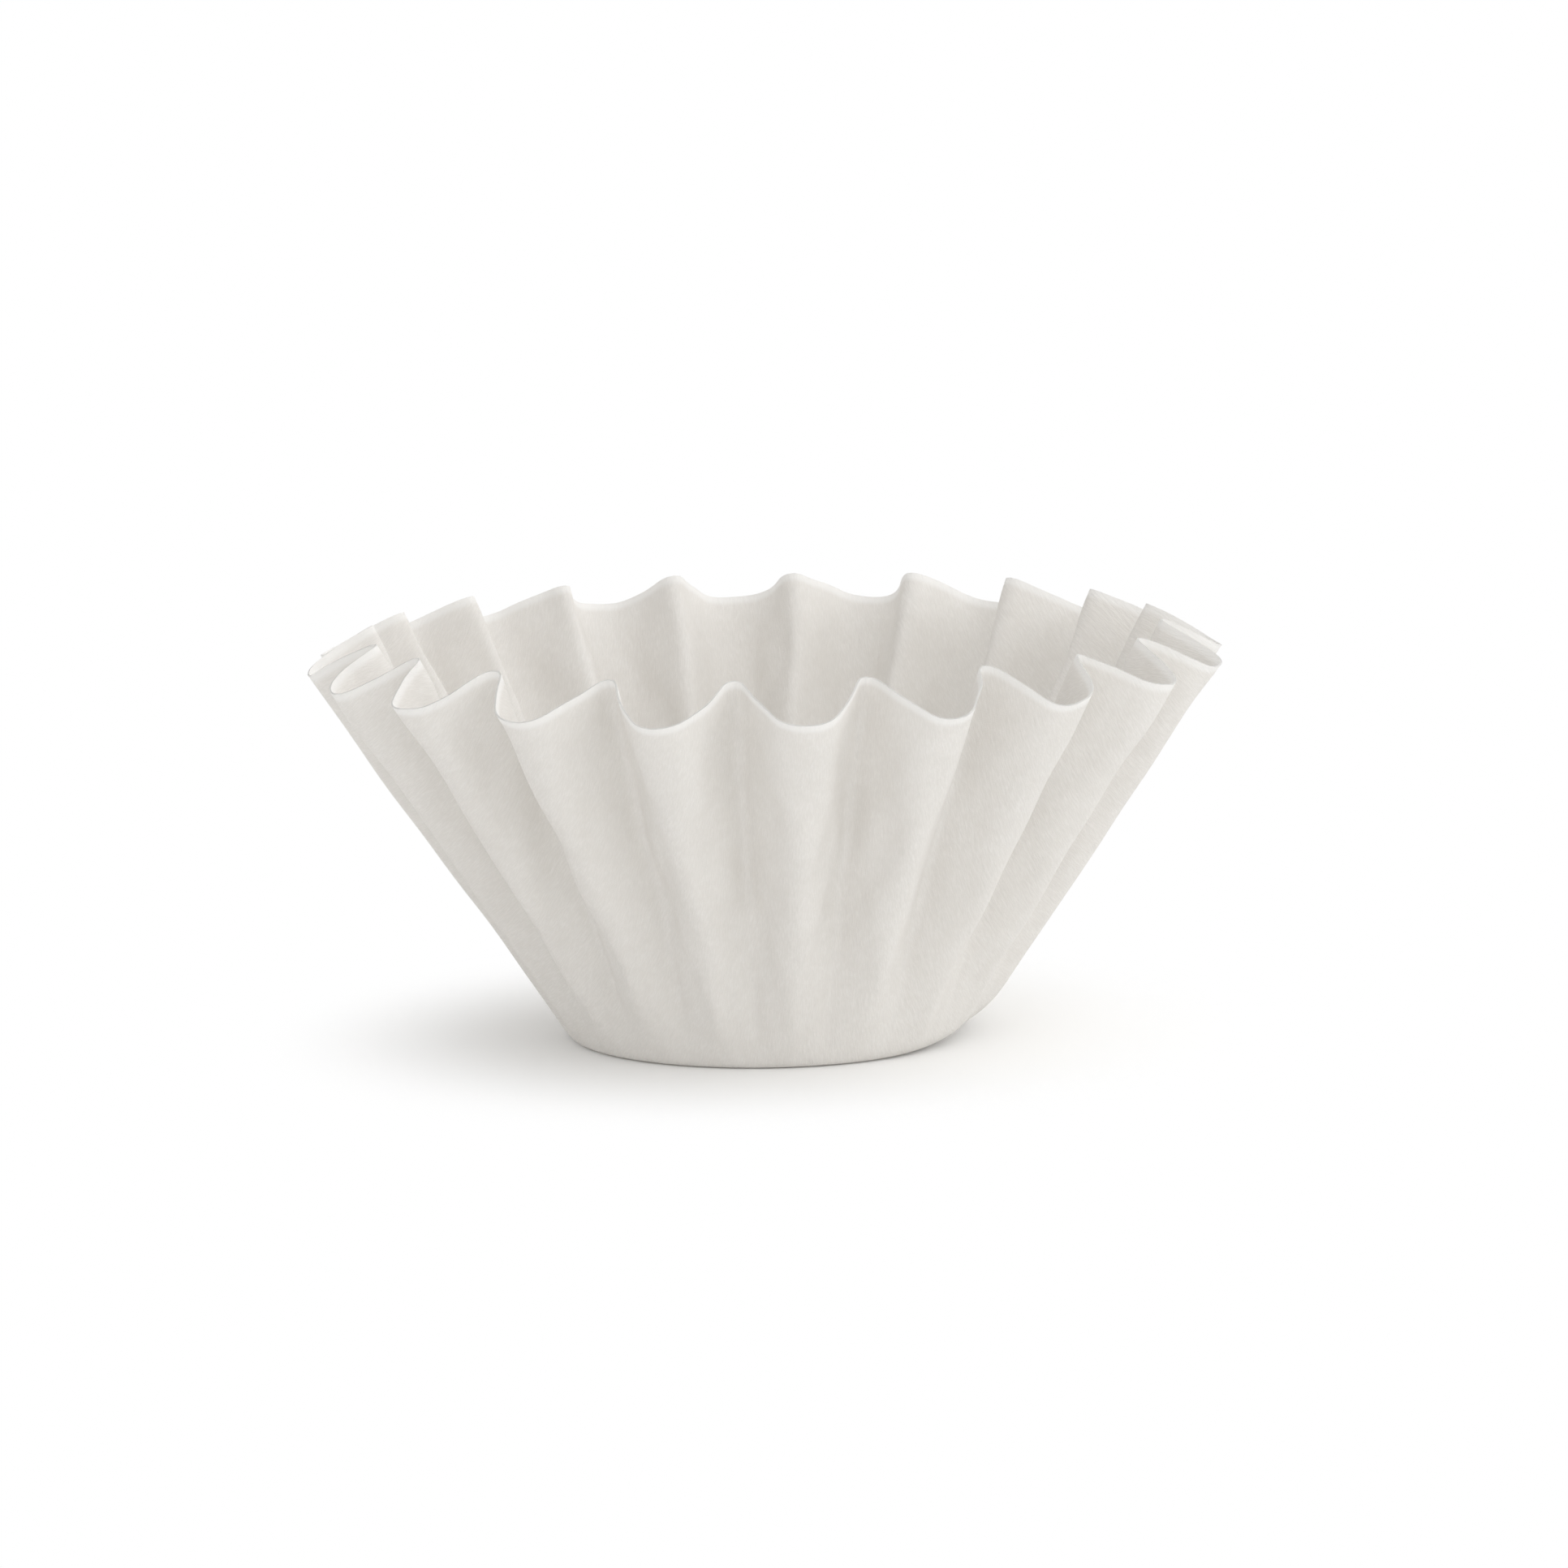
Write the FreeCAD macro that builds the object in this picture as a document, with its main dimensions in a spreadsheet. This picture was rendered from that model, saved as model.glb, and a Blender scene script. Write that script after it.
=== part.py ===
"""A paper coffee filter of the flat-bottomed, fluted kind, pressed from one flat disc of paper.

The paper is flat inside a round crease and stands up outside it in even flutes. Millimetres, +Z up,
with the origin in the middle of the underside of the base.
"""
import FreeCAD, Part
import math
import os
import Sketcher

os.makedirs("parts", exist_ok=True)
doc = FreeCAD.newDocument("CoffeeFilter")

# The sizes that a press shop would set: the disc, its base, the paper, and how deep the flutes are.
# A depth is how far a fold stands inside the lobes on the level, low down and at a height of one slant.
SIZES = {
    "disc_diameter": 155,
    "base_diameter": 48,
    "paper_thickness": 0.2,
    "flute_count": 20,
    "lobe_slope": 56,
    "low_height": 6,
    "low_depth": 2.5,
    "top_depth": 10.4,
    "top_lobe_radius": 4.7,
    "top_fold_radius": 2.0,
}
sheet = doc.addObject("Spreadsheet::Sheet", "Sizes")
for row, (name, size) in enumerate(SIZES.items(), start=1):
    sheet.set(f"A{row}", name)
    sheet.set(f"B{row}", str(size))
    sheet.setAlias(f"B{row}", name)
doc.recompute()

# What follows from them. The slant is the paper's length from the crease to the rim.
SLANT = "(Sizes.disc_diameter - Sizes.base_diameter) / 2"
CREASE_RADIUS = "Sizes.base_diameter / 2"
HALF_FLUTE = "180 / Sizes.flute_count"
WALL = "Sizes.paper_thickness / sin(Sizes.lobe_slope)"

# How a sketch's constraints name the points of an edge, the sketch's X axis and its origin, and the
# edges of half a flute's section in the order that they are drawn, out along one face and back.
START, END, CENTRE = range(1, 4)
X_AXIS = -1
ORIGIN = (X_AXIS, START)
LOBE, FLANK, FOLD, FOLD_CUT, INNER_FOLD, INNER_FLANK, INNER_LOBE, LOBE_CUT = range(8)

body = doc.addObject("PartDesign::Body", "FilterPaper")
body.Label = "filter_paper"
body.Placement = FreeCAD.Placement()
datums = {datum.Role: datum for datum in body.Origin.OriginFeatures}


def value(expression):
    """The number that an expression on the sheet comes to."""
    number = sheet.evalExpression(expression)
    return float(getattr(number, "Value", number))


def crest_radius(height):
    """The radius of a lobe's crest at a height. The crest runs straight up from the crease."""
    return f"({CREASE_RADIUS} + {height} / tan(Sizes.lobe_slope))"


def polar(radius, angle):
    """A point of a sketch, from its distance from the origin and its angle in degrees."""
    turn = math.radians(angle)
    return FreeCAD.Vector(radius * math.cos(turn), radius * math.sin(turn), 0)


def arc(centre, radius, start, end):
    """An arc about a centre, anticlockwise between two angles in degrees."""
    circle = Part.Circle(centre, FreeCAD.Vector(0, 0, 1), radius)
    return Part.ArcOfCircle(circle, math.radians(start), math.radians(end))


def line(start, end):
    """A straight edge between two points."""
    return Part.LineSegment(start, end)


def new_sketch(name, plane, height="0"):
    """An empty sketch on one of the body's planes, raised by a height."""
    sketch = body.newObject("Sketcher::SketchObject", name)
    sketch.AttachmentSupport = [(datums[plane], "")]
    sketch.MapMode = "FlatFace"
    sketch.setExpression("AttachmentOffset.Base.z", height)
    return sketch


def constrain(sketch, held, sized):
    """Constrain a sketch that is drawn to size: what is held together, then what follows the sheet."""
    constraints = [Sketcher.Constraint(*parts) for parts in held]
    for kind, *where, size in sized:
        amount = math.radians(value(size)) if kind == "Angle" else value(size)
        constraints.append(Sketcher.Constraint(kind, *where, amount))
    sketch.addConstraint(constraints)
    for index, (*_, size) in enumerate(sized, start=len(held)):
        sketch.setExpression(f"Constraints[{index}]", size)


def flute_section(name, height, depth):
    """Half a flute cut level: the paper's section from the crest of a lobe to the middle of a fold.

    A lobe arc and a fold arc bend opposite ways and the flank is the line that touches both. Both faces
    of the paper have the same centres, so the wall is even. The arcs grow with the crest's radius.
    """
    crest = crest_radius(height)
    share = f"{crest} / {crest_radius(SLANT)}"
    lobe = f"Sizes.top_lobe_radius * {share}"
    fold = f"Sizes.top_fold_radius * {share}"
    valley = f"{crest} - {depth}"

    half = value(HALF_FLUTE)
    lobe_centre = polar(value(f"{crest} - {lobe}"), 0)
    fold_centre = polar(value(f"{valley} + {fold}"), half)
    between = fold_centre - lobe_centre
    turn = math.degrees(
        math.atan2(between.y, between.x) - math.acos(value(f"{lobe} + {fold}") / between.Length)
    )
    faces = []
    for inset in (0, value(WALL)):
        lobe_arc = arc(lobe_centre, value(lobe) - inset, 0, turn)
        fold_arc = arc(fold_centre, value(fold) + inset, 180 + half, 180 + turn)
        faces.append((lobe_arc, line(lobe_arc.EndPoint, fold_arc.EndPoint), fold_arc))
    outer, inner = faces

    sketch = new_sketch(name, "XY_Plane", height)
    sketch.addGeometry([*outer, line(outer[FOLD].StartPoint, inner[FOLD].StartPoint)])
    sketch.addGeometry([*reversed(inner), line(inner[LOBE].StartPoint, outer[LOBE].StartPoint)])
    ray = sketch.addGeometry(line(FreeCAD.Vector(), fold_centre), True)
    held = [
        ("Tangent", LOBE, END, FLANK, START),
        ("Tangent", FLANK, END, FOLD, END),
        ("Coincident", FOLD, START, FOLD_CUT, START),
        ("Coincident", FOLD_CUT, END, INNER_FOLD, START),
        ("Tangent", INNER_FOLD, END, INNER_FLANK, END),
        ("Tangent", INNER_FLANK, START, INNER_LOBE, END),
        ("Coincident", INNER_LOBE, START, LOBE_CUT, START),
        ("Coincident", LOBE_CUT, END, LOBE, START),
        ("PointOnObject", LOBE, CENTRE, X_AXIS),
        ("PointOnObject", LOBE, START, X_AXIS),
        ("PointOnObject", INNER_LOBE, START, X_AXIS),
        ("Coincident", INNER_LOBE, CENTRE, LOBE, CENTRE),
        ("Coincident", INNER_FOLD, CENTRE, FOLD, CENTRE),
        ("Coincident", ray, START, *ORIGIN),
        ("Coincident", ray, END, FOLD, CENTRE),
        ("PointOnObject", FOLD, START, ray),
        ("PointOnObject", INNER_FOLD, START, ray),
    ]
    sized = [
        ("Angle", ray, HALF_FLUTE),
        ("Radius", LOBE, lobe),
        ("Radius", FOLD, fold),
        ("Radius", INNER_FOLD, f"{fold} + {WALL}"),
        ("Radius", INNER_LOBE, f"{lobe} - {WALL}"),
        ("DistanceX", *ORIGIN, LOBE, START, crest),
        ("Distance", *ORIGIN, FOLD, START, valley),
    ]
    constrain(sketch, held, sized)
    return sketch


def crease_section(name):
    """The foot of the same half flute, on the round crease, where the flute has no depth yet.

    Lobe, flank and fold each start from a third of it, so its edges answer to those of a flute section.
    """
    thirds = [f"{HALF_FLUTE} * {count} / 3" for count in range(4)]
    stops = [value(third) for third in thirds]
    faces = []
    for radius in (value(CREASE_RADIUS), value(f"{CREASE_RADIUS} - {WALL}")):
        faces.append([arc(FreeCAD.Vector(), radius, *ends) for ends in zip(stops, stops[1:])])
    outer, inner = faces

    sketch = new_sketch(name, "XY_Plane")
    sketch.addGeometry([*outer, line(outer[FOLD].EndPoint, inner[FOLD].EndPoint)])
    sketch.addGeometry([*reversed(inner), line(inner[LOBE].StartPoint, outer[LOBE].StartPoint)])
    rays = sketch.addGeometry([line(FreeCAD.Vector(), edge.EndPoint) for edge in outer], True)
    outside, inside = (LOBE, FLANK, FOLD), (INNER_LOBE, INNER_FLANK, INNER_FOLD)
    held = [("Coincident", edge, CENTRE, *ORIGIN) for edge in outside + inside]
    held += [("Coincident", ray, START, *ORIGIN) for ray in rays]
    held += [("Coincident", ray, END, edge, END) for ray, edge in zip(rays, outside)]
    held += [("PointOnObject", edge, END, ray) for ray, edge in zip(rays, inside)]
    held += [
        ("Coincident", LOBE, END, FLANK, START),
        ("Coincident", FLANK, END, FOLD, START),
        ("Coincident", FOLD, END, FOLD_CUT, START),
        ("Coincident", FOLD_CUT, END, INNER_FOLD, END),
        ("Coincident", INNER_FOLD, START, INNER_FLANK, END),
        ("Coincident", INNER_FLANK, START, INNER_LOBE, END),
        ("Coincident", INNER_LOBE, START, LOBE_CUT, START),
        ("Coincident", LOBE_CUT, END, LOBE, START),
        ("PointOnObject", LOBE, START, X_AXIS),
        ("PointOnObject", INNER_LOBE, START, X_AXIS),
    ]
    sized = [("Angle", ray, third) for ray, third in zip(rays, thirds[1:])]
    sized += [("Radius", LOBE, CREASE_RADIUS), ("Radius", INNER_LOBE, f"{CREASE_RADIUS} - {WALL}")]
    constrain(sketch, held, sized)
    return sketch


# One half of a flute, drawn up through its sections and past the rim.
half_flute = body.newObject("PartDesign::AdditiveLoft", "HalfFlute")
half_flute.Profile = crease_section("CreaseSection")
half_flute.Sections = [
    flute_section("LowSection", "Sizes.low_height", "Sizes.low_depth"),
    flute_section("TopSection", SLANT, "Sizes.top_depth"),
]
half_flute.Ruled = True
doc.recompute()
untrimmed = half_flute.Shape.Volume

# The rim is the edge of the disc. It lies one slant from the crease whichever way the paper runs, so it
# dips at each lobe and rises at each fold, and what stands past that is cut off.
slant = value(SLANT)
foot = FreeCAD.Vector(value(CREASE_RADIUS), 0, 0)
corners = [(0, slant), (0, 2 * slant), (2 * slant, 2 * slant), (2 * slant, 0), (slant, 0)]
corners = [foot + FreeCAD.Vector(*corner, 0) for corner in corners]
rim_outline = new_sketch("RimOutline", "XZ_Plane")
rim_outline.addGeometry([arc(foot, slant, 0, 90), *(line(*ends) for ends in zip(corners, corners[1:]))])
SWEEP, INSIDE, ABOVE, OUTSIDE, BELOW = range(5)
constrain(
    rim_outline,
    [
        ("Coincident", SWEEP, END, INSIDE, START),
        ("Coincident", INSIDE, END, ABOVE, START),
        ("Coincident", ABOVE, END, OUTSIDE, START),
        ("Coincident", OUTSIDE, END, BELOW, START),
        ("Coincident", BELOW, END, SWEEP, START),
        ("Vertical", INSIDE),
        ("Horizontal", ABOVE),
        ("Vertical", OUTSIDE),
        ("Horizontal", BELOW),
        ("PointOnObject", SWEEP, CENTRE, X_AXIS),
        ("PointOnObject", SWEEP, START, X_AXIS),
        ("Vertical", SWEEP, CENTRE, SWEEP, END),
    ],
    [
        ("DistanceX", *ORIGIN, SWEEP, CENTRE, CREASE_RADIUS),
        ("Radius", SWEEP, SLANT),
        ("Distance", INSIDE, SLANT),
        ("Distance", BELOW, SLANT),
    ],
)
rim = body.newObject("PartDesign::Groove", "Rim")
rim.Profile = rim_outline
rim.ReferenceAxis = (datums["Z_Axis"], [""])
rim.Angle = 360
doc.recompute()
if not 0 < rim.Shape.Volume < untrimmed:
    raise RuntimeError("the rim was not trimmed")

# The other half, and then the flute all the way round.
flute = body.newObject("PartDesign::Mirrored", "Flute")
flute.MirrorPlane = (datums["XZ_Plane"], [""])
flute.TransformMode = "Whole shape"
body.Tip = flute
doc.recompute()

flutes = body.newObject("PartDesign::PolarPattern", "Flutes")
flutes.Axis = (datums["Z_Axis"], [""])
flutes.Angle = 360
flutes.setExpression("Occurrences", "Sizes.flute_count")
flutes.TransformMode = "Whole shape"
body.Tip = flutes
doc.recompute()

# The base is the middle of the disc, flat out to the crease.
base_outline = new_sketch("BaseOutline", "XY_Plane")
base_outline.addGeometry(Part.Circle(FreeCAD.Vector(), FreeCAD.Vector(0, 0, 1), value(CREASE_RADIUS)))
constrain(base_outline, [("Coincident", 0, CENTRE, *ORIGIN)], [("Radius", 0, CREASE_RADIUS)])
base = body.newObject("PartDesign::Pad", "Base")
base.Profile = base_outline
base.setExpression("Length", "Sizes.paper_thickness")
body.Tip = base
doc.recompute()

for item in doc.Objects:
    if {"Invalid", "Error"} & set(item.State):
        raise RuntimeError(f"{item.Label} did not build")
if body.Shape.isNull() or not body.Shape.isValid() or len(body.Shape.Solids) != 1:
    raise RuntimeError("the paper is not one sound solid")
body.Shape.exportStep(f"parts/{body.Label}.step")
bounds = body.Shape.optimalBoundingBox()
print(f"paper {body.Shape.Volume:.1f} mm3, {bounds.XLength:.2f} mm across and {bounds.ZMax:.2f} mm high")
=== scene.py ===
"""A paper coffee filter, flat-bottomed and fluted, standing on a pale floor. Metres, +Z up."""
import math

import bpy
import numpy as np
from mathutils import Matrix, Vector


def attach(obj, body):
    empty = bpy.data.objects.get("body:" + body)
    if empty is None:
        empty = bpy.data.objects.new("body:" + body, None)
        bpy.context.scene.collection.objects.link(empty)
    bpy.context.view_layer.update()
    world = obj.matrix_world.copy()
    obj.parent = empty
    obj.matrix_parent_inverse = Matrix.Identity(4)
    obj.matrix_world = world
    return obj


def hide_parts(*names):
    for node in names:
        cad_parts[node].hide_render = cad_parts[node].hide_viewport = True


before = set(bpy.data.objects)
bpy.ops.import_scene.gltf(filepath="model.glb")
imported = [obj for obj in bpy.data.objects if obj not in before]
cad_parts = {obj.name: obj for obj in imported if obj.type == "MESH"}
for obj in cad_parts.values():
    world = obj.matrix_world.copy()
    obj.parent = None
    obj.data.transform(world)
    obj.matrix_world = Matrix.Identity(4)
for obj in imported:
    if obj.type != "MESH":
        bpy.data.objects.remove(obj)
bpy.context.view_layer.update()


# The view.
# A long lens looks down on the filter from a little above the rim. A lobe stands a few degrees to the
# right of the middle, and the picture leans by about a degree.
IMAGE_SIZE = 1932
SENSOR = 0.036
DISTANCE = 0.9166
ELEVATION = math.radians(10.8)
LOBE_TO_THE_RIGHT = math.radians(4.6)
LEAN = math.radians(1.2)
FOCAL_PIXELS = 9525
AIM_RIGHT = 0.00185
AIM_UP = 0.0295

camera = bpy.data.objects.new("camera", bpy.data.cameras.new("camera"))
bpy.context.scene.collection.objects.link(camera)
bpy.context.scene.camera = camera
camera.data.sensor_width = SENSOR * 1000
camera.data.lens = FOCAL_PIXELS / IMAGE_SIZE * camera.data.sensor_width
camera.data.clip_start = 0.05
camera.data.clip_end = 50
bearing = -math.pi / 2 - LOBE_TO_THE_RIGHT
towards = Vector((math.cos(bearing), math.sin(bearing), 0))
eye = DISTANCE * (math.cos(ELEVATION) * towards + math.sin(ELEVATION) * Vector((0, 0, 1)))
across = Vector((-math.sin(bearing), math.cos(bearing), 0))
aim = AIM_RIGHT * across + Vector((0, 0, AIM_UP))
turn = (aim - eye).to_track_quat("-Z", "Y").to_matrix().to_4x4()
camera.matrix_world = Matrix.Translation(eye) @ turn @ Matrix.Rotation(-LEAN, 4, "Z")


# The floor, the backdrop and the light.
# The floor is matt and nearly white. It keeps the filter's shadow close by, and further out it shows as the
# same white as the backdrop. The light is a studio's: even room light and three broad, low lamps.
FLOOR_RADIUS = 6
FLOOR_COLOUR = (0.95, 0.95, 0.945, 1)
WHITE_FROM = 0.024
WHITE_BY = 0.064
ROOM_LIGHT = 0.7
LAMPS = {
    "key_lamp": (1.4, 83, 22),
    "fill_lamp": (0.75, 15, 12),
    "back_lamp": (0.5, 165, 30),
}
LAMP_SPREAD = math.radians(110)


def seen_directly(nodes, links):
    """1 for what the camera sees, straight or in gloss or glass, and 0 for light that falls on a surface:
    the larger of a camera ray's 1, and a gloss or glass ray's 1 less a diffuse ray's."""
    ray = nodes.new("ShaderNodeLightPath")
    shown = nodes.new("ShaderNodeMath")
    shown.operation = "MAXIMUM"
    links.new(ray.outputs["Is Glossy Ray"], shown.inputs[0])
    links.new(ray.outputs["Is Transmission Ray"], shown.inputs[1])
    clear = nodes.new("ShaderNodeMath")
    clear.operation = "SUBTRACT"
    links.new(shown.outputs["Value"], clear.inputs[0])
    links.new(ray.outputs["Is Diffuse Ray"], clear.inputs[1])
    seen = nodes.new("ShaderNodeMath")
    seen.operation = "MAXIMUM"
    links.new(ray.outputs["Is Camera Ray"], seen.inputs[0])
    links.new(clear.outputs["Value"], seen.inputs[1])
    return seen.outputs["Value"]


corners = [(x * FLOOR_RADIUS, y * FLOOR_RADIUS, 0) for x, y in ((-1, -1), (1, -1), (1, 1), (-1, 1))]
floor_mesh = bpy.data.meshes.new("floor")
floor_mesh.from_pydata(corners, [], [(0, 1, 2, 3)])
floor = bpy.data.objects.new("floor", floor_mesh)
bpy.context.scene.collection.objects.link(floor)

floor_finish = bpy.data.materials.new("floor")
floor_finish.use_nodes = True
nodes = floor_finish.node_tree.nodes
links = floor_finish.node_tree.links
nodes.clear()
matt = nodes.new("ShaderNodeBsdfDiffuse")
matt.inputs["Color"].default_value = FLOOR_COLOUR
white = nodes.new("ShaderNodeEmission")
white.inputs["Color"].default_value = (1, 1, 1, 1)
place = nodes.new("ShaderNodeTexCoord")
reach = nodes.new("ShaderNodeVectorMath")
reach.operation = "LENGTH"
links.new(place.outputs["Object"], reach.inputs[0])
fade = nodes.new("ShaderNodeMapRange")
fade.interpolation_type = "SMOOTHERSTEP"
fade.inputs["From Min"].default_value = WHITE_FROM
fade.inputs["From Max"].default_value = WHITE_BY
links.new(reach.outputs["Value"], fade.inputs["Value"])
whitened = nodes.new("ShaderNodeMath")
whitened.operation = "MULTIPLY"
links.new(seen_directly(nodes, links), whitened.inputs[0])
links.new(fade.outputs["Result"], whitened.inputs[1])
mixed = nodes.new("ShaderNodeMixShader")
links.new(whitened.outputs["Value"], mixed.inputs["Fac"])
links.new(matt.outputs["BSDF"], mixed.inputs[1])
links.new(white.outputs["Emission"], mixed.inputs[2])
surface = nodes.new("ShaderNodeOutputMaterial")
links.new(mixed.outputs["Shader"], surface.inputs["Surface"])
floor_mesh.materials.append(floor_finish)

world = bpy.data.worlds.new("room")
bpy.context.scene.world = world
world.use_nodes = True
nodes = world.node_tree.nodes
links = world.node_tree.links
nodes.clear()
room = nodes.new("ShaderNodeBackground")
room.inputs["Color"].default_value = (1, 1, 1, 1)
room.inputs["Strength"].default_value = ROOM_LIGHT
backdrop = nodes.new("ShaderNodeBackground")
backdrop.inputs["Color"].default_value = (1, 1, 1, 1)
mixed = nodes.new("ShaderNodeMixShader")
links.new(seen_directly(nodes, links), mixed.inputs["Fac"])
links.new(room.outputs["Background"], mixed.inputs[1])
links.new(backdrop.outputs["Background"], mixed.inputs[2])
sky = nodes.new("ShaderNodeOutputWorld")
links.new(mixed.outputs["Shader"], sky.inputs["Surface"])

for name, (strength, to_the_right, up) in LAMPS.items():
    lamp = bpy.data.objects.new(name, bpy.data.lights.new(name, "SUN"))
    bpy.context.scene.collection.objects.link(lamp)
    lamp.data.energy = strength
    lamp.data.angle = LAMP_SPREAD
    turned = bearing + math.radians(to_the_right)
    rise = math.radians(up)
    source = Vector((math.cos(turned) * math.cos(rise), math.sin(turned) * math.cos(rise), math.sin(rise)))
    lamp.matrix_world = source.to_track_quat("Z", "Y").to_matrix().to_4x4()

bpy.context.scene.view_settings.view_transform = "Standard"


# The filter.
# One round sheet of thin, matt, off-white paper. A die presses it flat inside a round crease and into
# even flutes outside it, which open and lean a little differently once the filter is lifted out.
BASE_RADIUS = 0.024
SLANT = 0.0535
THICKNESS = 0.0002
LOBE_SLOPE = math.radians(56)
MEAN_SLOPE = math.radians(60.5)
FLUTES = 20
FLUTE_COLUMNS = 36
WALL_ROWS = 50
BASE_ROWS = 8
POLE_RADIUS = 0.0006
BASE_CROWDING = 2.5
WALL_CROWDING = 1.5
FLUTES_FROM = 0.0075
LOBE_FLATNESS = 0.4
FLANK_STRAIGHTNESS = 2.4
CREASE_BEND = 0.0009
DENT_BEND = 0.0075
DENT_AT = math.radians(-8)
DENT_WIDTH = math.radians(34)
RIM_UNEVEN = 0.00012
RIM_ONLY = 6
BUCKLE = 0.00016
OFF_THE_FLOOR = 0.00003
OPENING_SPREAD = 0.03
LEAN_SPREAD = 0.06
SHARE_SPREAD = 0.012

rng = np.random.default_rng(7)


def waves(angle, height, least, most, count):
    """A smooth uneven field of about 1, round a ring and up a wall: a sum of waves, each a sine round
    times a sine up, with whole numbers of waves round, from least to most, so that it closes."""
    round_way = rng.integers(least, most, count)[:, None, None]
    up_way = rng.uniform(0.5, 4, count)[:, None, None]
    shifts = rng.uniform(0, 2 * np.pi, (2, count, 1, 1))
    field = np.sin(round_way * angle + shifts[0]) * np.sin(up_way * height + shifts[1])
    return field.sum(axis=0) / math.sqrt(count / 4)


def paper(slant, flutes, columns):
    """The middle of the sheet, one row for each distance from the crease (negative on the base).

    Round each row the paper's heading swings from side to side as a sine does, which is how a strip
    bends, and it swings wider further out, where the flat disc has more paper than the cone has room:
    a strip whose heading swings by s takes up the square of 1 - s * s / 8 of its length.
    The sine's second part, which grows towards the rim, flattens the lobes and narrows the folds, and a
    tanh cuts its tops off, which makes the flanks between them straight. The heading's sine adds up to
    the wall's slope and its cosine to the way round. A point then lies at its distance from the crease,
    at its slope: so the rim dips at each lobe and rises at each fold. The crease is a parabola that
    touches the base and the wall, narrow all round but at the dent, where it widens as a bell curve.
    """
    along = np.tile((np.arange(columns) + 0.5) / columns, flutes)
    phase = 2 * np.pi * along
    opened = np.repeat(rng.normal(1, OPENING_SPREAD, flutes), columns)
    leant = np.repeat(rng.normal(0, LEAN_SPREAD, flutes), columns)
    share = rng.normal(1, SHARE_SPREAD, flutes)
    out = np.maximum(slant, 0)[:, None]
    circle = BASE_RADIUS + out
    room = (BASE_RADIUS + out * math.cos(MEAN_SLOPE)) / circle
    swing = np.sqrt(8 * (1 - np.sqrt(room))) * out / (out + FLUTES_FROM)
    flatness = LOBE_FLATNESS * out / SLANT
    shape = np.sin(phase) - flatness * np.sin(2 * phase) + leant * np.sin(phase) ** 2
    shape = np.tanh(FLANK_STRAIGHTNESS * shape) / math.tanh(FLANK_STRAIGHTNESS)
    heading = swing * opened * shape
    step = 2 * np.pi * circle / (flutes * columns)

    rise = (np.sin(heading) * step).reshape(-1, flutes, columns)
    rise = rise - rise.mean(axis=2, keepdims=True)
    depth = np.cumsum(rise, axis=2).reshape(len(slant), -1)
    slope = LOBE_SLOPE + depth / np.maximum(out, 1e-6)
    slope = np.where(out > 0, slope, LOBE_SLOPE)

    sweep = (np.cos(heading) * step / (BASE_RADIUS + out * np.cos(slope))).reshape(-1, flutes, columns)
    sweep *= 2 * np.pi * (share / share.sum())[:, None] / sweep.sum(axis=2, keepdims=True)
    angle = np.cumsum(sweep.reshape(len(slant), -1), axis=1) - np.pi / 2

    from_dent = (angle - DENT_AT + np.pi) % (2 * np.pi) - np.pi
    bend = CREASE_BEND + DENT_BEND * np.exp(-((from_dent / DENT_WIDTH) ** 2))
    uneven = RIM_UNEVEN * (out / SLANT) ** RIM_ONLY
    slant = slant[:, None] + uneven * waves(angle, height=0, least=3, most=50, count=16)
    soft = np.where(np.abs(slant) < bend, (slant + bend) ** 2 / (4 * bend), np.maximum(slant, 0))
    radius = BASE_RADIUS + slant - (1 - np.cos(slope)) * soft
    height = np.sin(slope) * soft
    return np.stack([radius * np.cos(angle), radius * np.sin(angle), height], axis=-1)


def normals_of(grid):
    """The unit normal at each point of a ring grid: the steps between its neighbours, one round and one
    up, crossed and made one long."""
    round_way = np.roll(grid, -1, axis=1) - np.roll(grid, 1, axis=1)
    up_way = np.gradient(grid, axis=0)
    normal = np.cross(round_way, up_way)
    return normal / np.linalg.norm(normal, axis=2, keepdims=True)


base_rows = (POLE_RADIUS - BASE_RADIUS) * np.linspace(1, 0, BASE_ROWS, endpoint=False) ** BASE_CROWDING
wall_rows = SLANT * np.linspace(0, 1, WALL_ROWS) ** WALL_CROWDING
slants = np.concatenate([base_rows, wall_rows])
middle = paper(slants, FLUTES, FLUTE_COLUMNS)
rows, columns = middle.shape[:2]
turns = 2 * np.pi * np.arange(columns) / columns
grown = np.clip(slants / SLANT, 0, 1)[:, None]
buckled = BUCKLE * waves(turns, 2 * np.pi * grown, least=9, most=70, count=40) * np.sqrt(grown)
middle = middle + normals_of(middle) * buckled[:, :, None]
normal = normals_of(middle)
outer = middle + normal * THICKNESS / 2
inner = middle - normal * THICKNESS / 2
lift = OFF_THE_FLOOR - outer[:, :, 2].min()
poles = np.array([[0, 0, OFF_THE_FLOOR], [0, 0, OFF_THE_FLOOR + THICKNESS]])
points = np.concatenate([outer.reshape(-1, 3), inner.reshape(-1, 3)]) + (0, 0, lift)
points = np.concatenate([points, poles])

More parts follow.
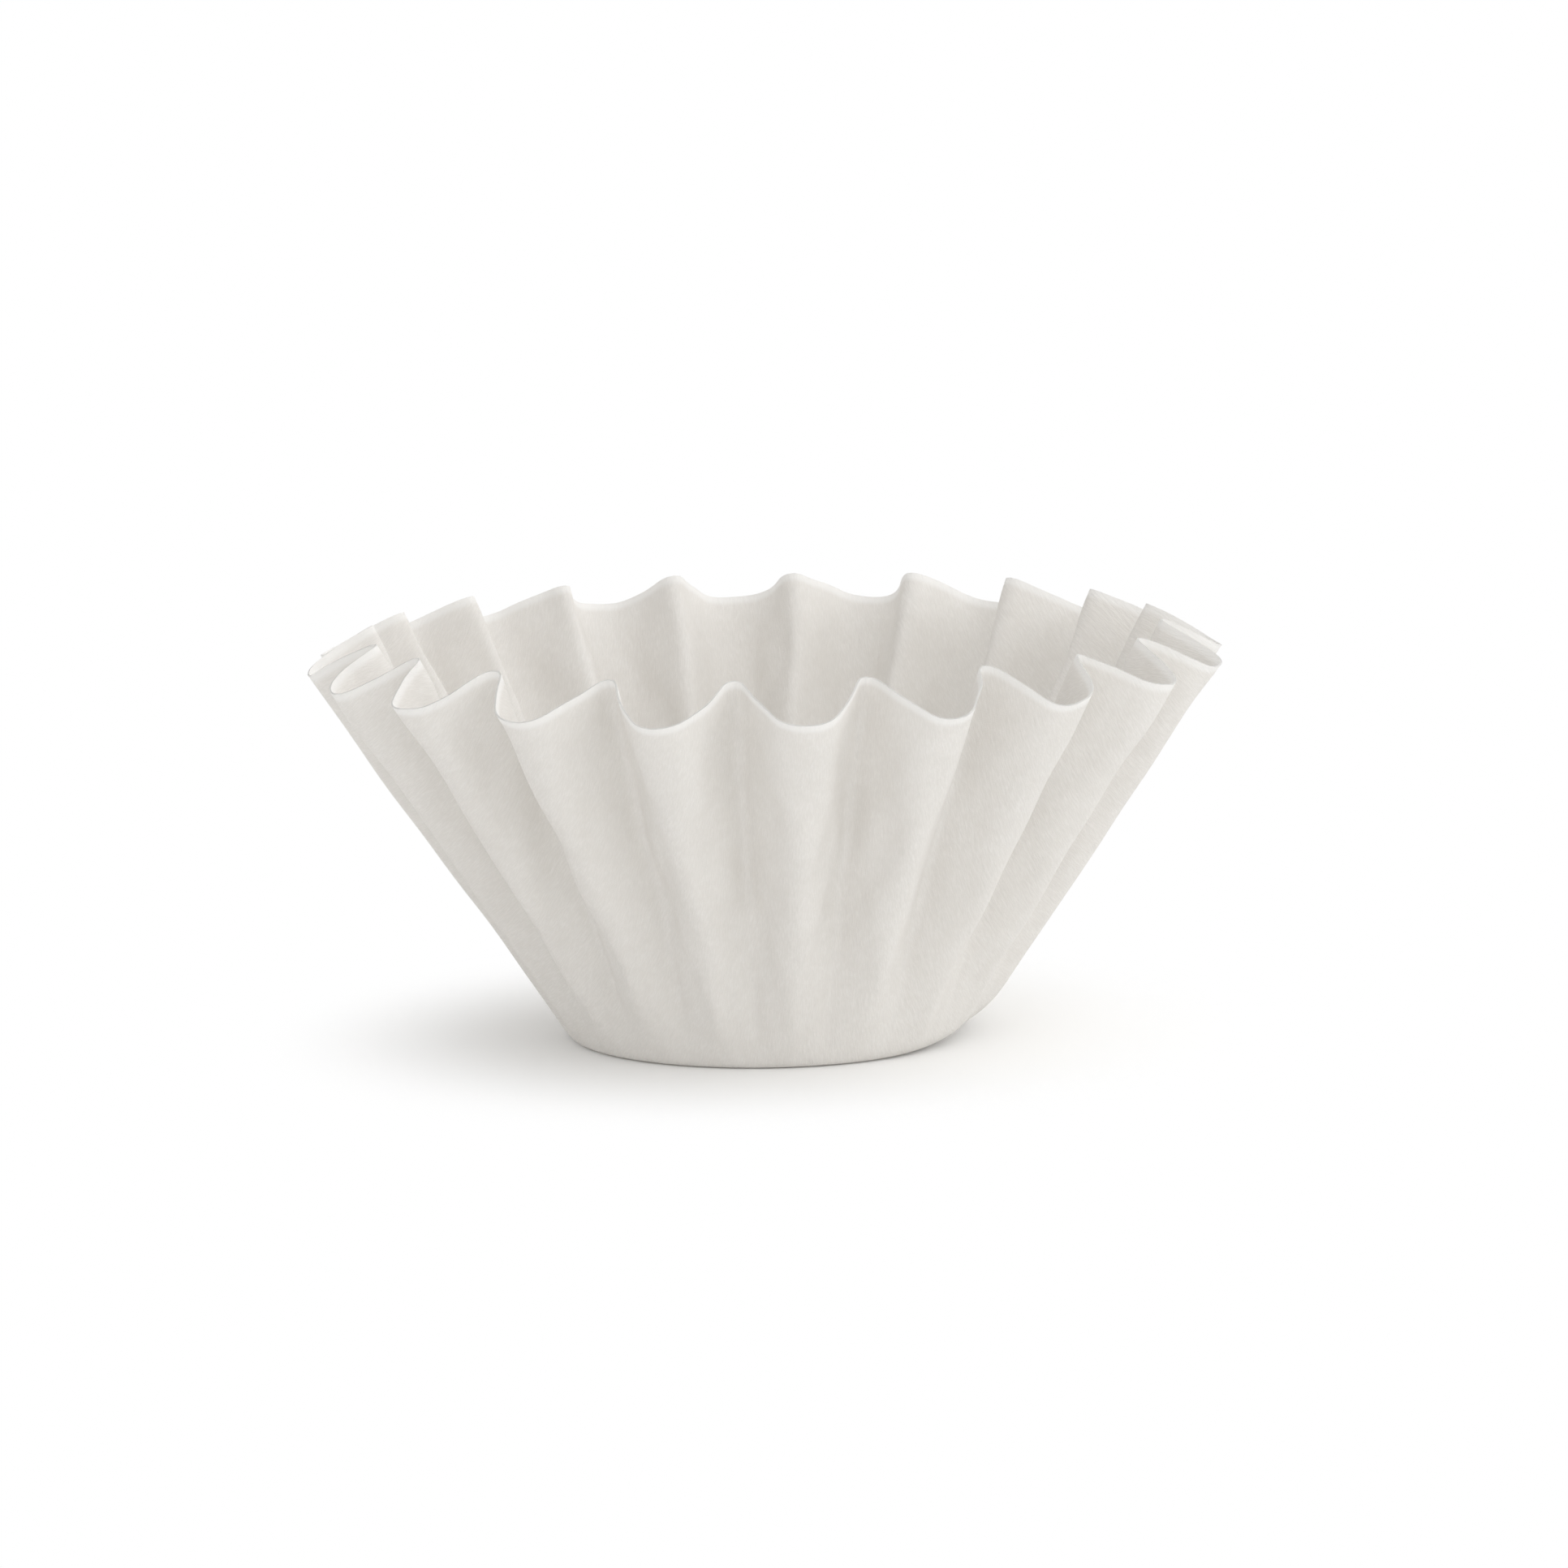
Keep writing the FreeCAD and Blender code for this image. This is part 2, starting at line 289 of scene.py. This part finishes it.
# The faces are both sides of the paper, its own edge at the rim and a fan at the middle of each side.
column = np.arange(columns)
beside = (column + 1) % columns
ring = np.arange(rows - 1)[:, None] * columns
skin = np.stack([ring + column, ring + beside, ring + columns + beside, ring + columns + column], axis=-1)
skin = skin.reshape(-1, 4)
to_inner = rows * columns
back = skin[:, ::-1] + to_inner
rim = (rows - 1) * columns
edge = np.stack([rim + column, rim + beside, rim + to_inner + beside, rim + to_inner + column], axis=-1)
under = np.stack([beside, column, np.full(columns, len(points) - 2)], axis=-1)
above = np.stack([to_inner + column, to_inner + beside, np.full(columns, len(points) - 1)], axis=-1)
faces = [*skin.tolist(), *back.tolist(), *edge.tolist(), *under.tolist(), *above.tolist()]

filter_mesh = bpy.data.meshes.new("filter_paper")
filter_mesh.from_pydata(points.tolist(), [], faces)
filter_mesh.validate()
filter_mesh.shade_smooth()
ends = np.empty(len(filter_mesh.edges) * 2, dtype=np.int32)
filter_mesh.edges.foreach_get("vertices", ends)
row_of = (ends % to_inner) // columns
on_rim = ((row_of == rows - 1) & (ends < 2 * to_inner)).reshape(-1, 2).all(axis=1)
same_face = (ends // to_inner).reshape(-1, 2)
filter_mesh.edges.foreach_set("use_edge_sharp", on_rim & (same_face[:, 0] == same_face[:, 1]))

# Each point keeps its place on the flat disc, where the paper's pattern lies. The inner face's is moved
# aside, so that it has a pattern of its own.
INNER_FACE = (0, 0, 0.05)
flat_radius = BASE_RADIUS + slants[:, None]
flat = np.stack([flat_radius * np.cos(turns), flat_radius * np.sin(turns), 0 * middle[:, :, 0]], axis=-1)
flat = flat.reshape(-1, 3)
flat = np.concatenate([flat, flat + INNER_FACE, [(0, 0, 0), INNER_FACE]])
sheet_place = filter_mesh.attributes.new("sheet_place", "FLOAT_VECTOR", "POINT")
sheet_place.data.foreach_set("vector", flat.ravel())

filter_piece = bpy.data.objects.new("pressed_paper", filter_mesh)
bpy.context.scene.collection.objects.link(filter_piece)

PAPER_COLOUR = (0.912, 0.895, 0.869, 1)
THIN_COLOUR = (0.876, 0.855, 0.824, 1)
BETWEEN_FIBRES = (0.805, 0.785, 0.752, 1)
# The rim's lighter colour is a painted highlight, where the sheet's lip catches the light.
RIM_HIGHLIGHT_COLOUR = (0.95, 0.942, 0.925, 1)
FLECK_COLOUR = (0.56, 0.50, 0.42, 1)
SPECULAR = 0.15
THROUGH = 0.3
CLOUDS_A_METRE = 420
DRIFT_A_METRE = 55
FIBRES_A_METRE = 900
CREPE_A_METRE = 420
GRAIN_A_METRE = 5200
FLECKS_A_METRE = 120
FIBRE_STRETCH = (1, 7, 1)
CREPE_STRETCH = (1, 6, 1)
RELIEF_DEPTH = 0.00008
RIM_HIGHLIGHT_FROM = SLANT - 0.0013
RIM_HIGHLIGHT_BY = SLANT - 0.0005

paper_finish = bpy.data.materials.new("filter_paper")
paper_finish.use_nodes = True
nodes = paper_finish.node_tree.nodes
links = paper_finish.node_tree.links
nodes.clear()
sheet = nodes.new("ShaderNodeAttribute")
sheet.attribute_name = "sheet_place"


def noise(scale, detail=3, along=(1, 1, 1), turned=0):
    """Noise on the flat sheet, scale times a metre, stretched along the sheet and turned on it."""
    laid = nodes.new("ShaderNodeMapping")
    laid.inputs["Scale"].default_value = along
    laid.inputs["Rotation"].default_value = (0, 0, turned)
    links.new(sheet.outputs["Vector"], laid.inputs["Vector"])
    texture = nodes.new("ShaderNodeTexNoise")
    texture.inputs["Scale"].default_value = scale
    texture.inputs["Detail"].default_value = detail
    links.new(laid.outputs["Vector"], texture.inputs["Vector"])
    return texture.outputs["Fac"]


def graded(value, low, high, to_low=0, to_high=1):
    """A value mapped smoothly from one range to another."""
    ramp = nodes.new("ShaderNodeMapRange")
    ramp.interpolation_type = "SMOOTHSTEP"
    ramp.inputs["From Min"].default_value = low
    ramp.inputs["From Max"].default_value = high
    ramp.inputs["To Min"].default_value = to_low
    ramp.inputs["To Max"].default_value = to_high
    links.new(value, ramp.inputs["Value"])
    return ramp.outputs["Result"]


def blended(share, first, second):
    """One colour laid over another by a share."""
    mix = nodes.new("ShaderNodeMix")
    mix.data_type = "RGBA"
    links.new(share, mix.inputs["Factor"])
    for socket, colour in ((mix.inputs["A"], first), (mix.inputs["B"], second)):
        if isinstance(colour, tuple):
            socket.default_value = colour
        else:
            links.new(colour, socket)
    return mix.outputs["Result"]


def combined(operation, first, second):
    """Two values put together by a plain sum, product or the like."""
    mathed = nodes.new("ShaderNodeMath")
    mathed.operation = operation
    for socket, value in zip(mathed.inputs, (first, second)):
        if isinstance(value, (int, float)):
            socket.default_value = value
        else:
            links.new(value, socket)
    return mathed.outputs["Value"]


clouds = noise(CLOUDS_A_METRE, detail=5)
drift = noise(DRIFT_A_METRE, detail=2)
fibres = combined(
    "MAXIMUM",
    noise(FIBRES_A_METRE, along=FIBRE_STRETCH, turned=0.4),
    noise(FIBRES_A_METRE, along=FIBRE_STRETCH, turned=1.9),
)
crepe = noise(CREPE_A_METRE, detail=2, along=CREPE_STRETCH, turned=0.15)
grain = noise(GRAIN_A_METRE, detail=2)

fleck_cells = nodes.new("ShaderNodeTexVoronoi")
fleck_cells.inputs["Scale"].default_value = FLECKS_A_METRE
links.new(sheet.outputs["Vector"], fleck_cells.inputs["Vector"])
fleck_kind = nodes.new("ShaderNodeSeparateColor")
links.new(fleck_cells.outputs["Color"], fleck_kind.inputs["Color"])
fleck_spot = graded(fleck_cells.outputs["Distance"], 0.012, 0.024, to_low=0.55, to_high=0)
flecks = combined("MULTIPLY", fleck_spot, graded(fleck_kind.outputs["Red"], 0.6, 0.62))

flat_reach = nodes.new("ShaderNodeVectorMath")
flat_reach.operation = "LENGTH"
on_sheet = nodes.new("ShaderNodeVectorMath")
on_sheet.operation = "MULTIPLY"
on_sheet.inputs[1].default_value = (1, 1, 0)
links.new(sheet.outputs["Vector"], on_sheet.inputs[0])
links.new(on_sheet.outputs["Vector"], flat_reach.inputs[0])
# A painted highlight along the rim: the colour lightens over the last millimetre or so of the flat sheet,
# where the lip catches the light.
rim_highlight_span = (BASE_RADIUS + RIM_HIGHLIGHT_FROM, BASE_RADIUS + RIM_HIGHLIGHT_BY)
painted_rim_highlight = graded(flat_reach.outputs["Value"], *rim_highlight_span, to_high=0.9)

thin = combined("ADD", graded(clouds, 0.35, 0.65, to_high=0.5), graded(drift, 0.35, 0.65, to_high=0.35))
colour = blended(thin, PAPER_COLOUR, THIN_COLOUR)
colour = blended(graded(fibres, 0.48, 0.66, to_low=0.4, to_high=0), colour, BETWEEN_FIBRES)
colour = blended(painted_rim_highlight, colour, RIM_HIGHLIGHT_COLOUR)
colour = blended(flecks, colour, FLECK_COLOUR)

relief = combined("ADD", crepe, combined("MULTIPLY", fibres, 0.5))
relief = combined("ADD", relief, combined("MULTIPLY", grain, 0.35))
bump = nodes.new("ShaderNodeBump")
bump.inputs["Strength"].default_value = 1
bump.inputs["Distance"].default_value = RELIEF_DEPTH
links.new(relief, bump.inputs["Height"])

front = nodes.new("ShaderNodeBsdfPrincipled")
front.inputs["Specular IOR Level"].default_value = SPECULAR
links.new(colour, front.inputs["Base Color"])
links.new(graded(clouds, 0.3, 0.7, to_low=0.95, to_high=0.84), front.inputs["Roughness"])
links.new(bump.outputs["Normal"], front.inputs["Normal"])
through = nodes.new("ShaderNodeBsdfTranslucent")
links.new(colour, through.inputs["Color"])
links.new(bump.outputs["Normal"], through.inputs["Normal"])
mixed = nodes.new("ShaderNodeMixShader")
mixed.inputs["Fac"].default_value = THROUGH
links.new(front.outputs["BSDF"], mixed.inputs[1])
links.new(through.outputs["BSDF"], mixed.inputs[2])
surface = nodes.new("ShaderNodeOutputMaterial")
links.new(mixed.outputs["Shader"], surface.inputs["Surface"])
filter_mesh.materials.append(paper_finish)

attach(filter_piece, "root")
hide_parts("filter_paper")
